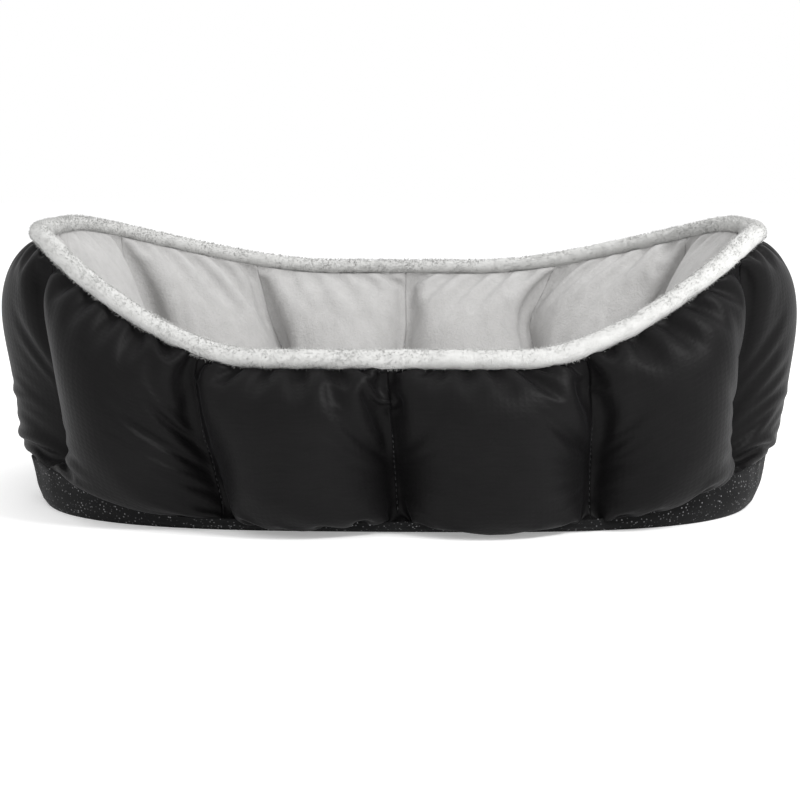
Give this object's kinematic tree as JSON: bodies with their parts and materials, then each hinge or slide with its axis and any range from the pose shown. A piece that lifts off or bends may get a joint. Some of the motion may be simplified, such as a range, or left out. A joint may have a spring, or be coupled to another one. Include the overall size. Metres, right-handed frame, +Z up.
{
  "type": "pet cushion bed",
  "caption": "Oval pet bed with a gathered dark fabric outer wall of puffed chambers, light plush lining, fleece rim, low front, raised ends, non-slip base and a lift-out cushion.",
  "frame": {"origin": "on the floor under the middle of the bed's length and width", "axes": "+X along the long axis to the right end, -Y to the low front where the pet steps in, +Z up"},
  "size_m": [0.6049, 0.4787, 0.2085],
  "materials": {
    "outer_fabric": "smooth dark woven polyester with a faint sheen, gathered at the rim",
    "plush_lining": "light grey short-pile plush, crushed in places",
    "rim_fleece": "off-white long-pile fleece",
    "base_fabric": "dark non-slip fabric with small pale rubber dots",
    "fibre_filling": "loose white polyester fibre",
    "cushion_plush": "light grey short-pile plush",
    "thread": "dark sewing thread"
  },
  "bodies": {
    "bed": {"outer_panel_front_right": "outer_fabric", "outer_panel_front_corner_right": "outer_fabric", "outer_panel_right_end_front": "outer_fabric", "outer_panel_right_end_back": "outer_fabric", "outer_panel_back_corner_right": "outer_fabric", "outer_panel_back_right": "outer_fabric", "outer_panel_back_left": "outer_fabric", "outer_panel_back_corner_left": "outer_fabric", "outer_panel_left_end_back": "outer_fabric", "outer_panel_left_end_front": "outer_fabric", "outer_panel_front_corner_left": "outer_fabric", "outer_panel_front_left": "outer_fabric", "lining_panel_front_right": "plush_lining", "lining_panel_front_corner_right": "plush_lining", "lining_panel_right_end_front": "plush_lining", "lining_panel_right_end_back": "plush_lining", "lining_panel_back_corner_right": "plush_lining", "lining_panel_back_right": "plush_lining", "lining_panel_back_left": "plush_lining", "lining_panel_back_corner_left": "plush_lining", "lining_panel_left_end_back": "plush_lining", "lining_panel_left_end_front": "plush_lining", "lining_panel_front_corner_left": "plush_lining", "lining_panel_front_left": "plush_lining", "wall_filling_front_right": "fibre_filling", "wall_filling_front_corner_right": "fibre_filling", "wall_filling_right_end_front": "fibre_filling", "wall_filling_right_end_back": "fibre_filling", "wall_filling_back_corner_right": "fibre_filling", "wall_filling_back_right": "fibre_filling", "wall_filling_back_left": "fibre_filling", "wall_filling_back_corner_left": "fibre_filling", "wall_filling_left_end_back": "fibre_filling", "wall_filling_left_end_front": "fibre_filling", "wall_filling_front_corner_left": "fibre_filling", "wall_filling_front_left": "fibre_filling", "seam_stitching": "thread", "rim_band": "rim_fleece", "rim_core": "fibre_filling", "base_cover": "base_fabric", "base_pad": "fibre_filling", "floor_lining": "plush_lining"},
    "cushion": {"cushion_top_panel": "cushion_plush", "cushion_base_panel": "base_fabric", "cushion_filling": "fibre_filling"}
  },
  "joints": [
    {"name": "cushion_lift", "type": "slide", "parent": "bed", "child": "cushion", "axis": [0, 0, 1], "range_m": [0, 0.25]}
  ]
}
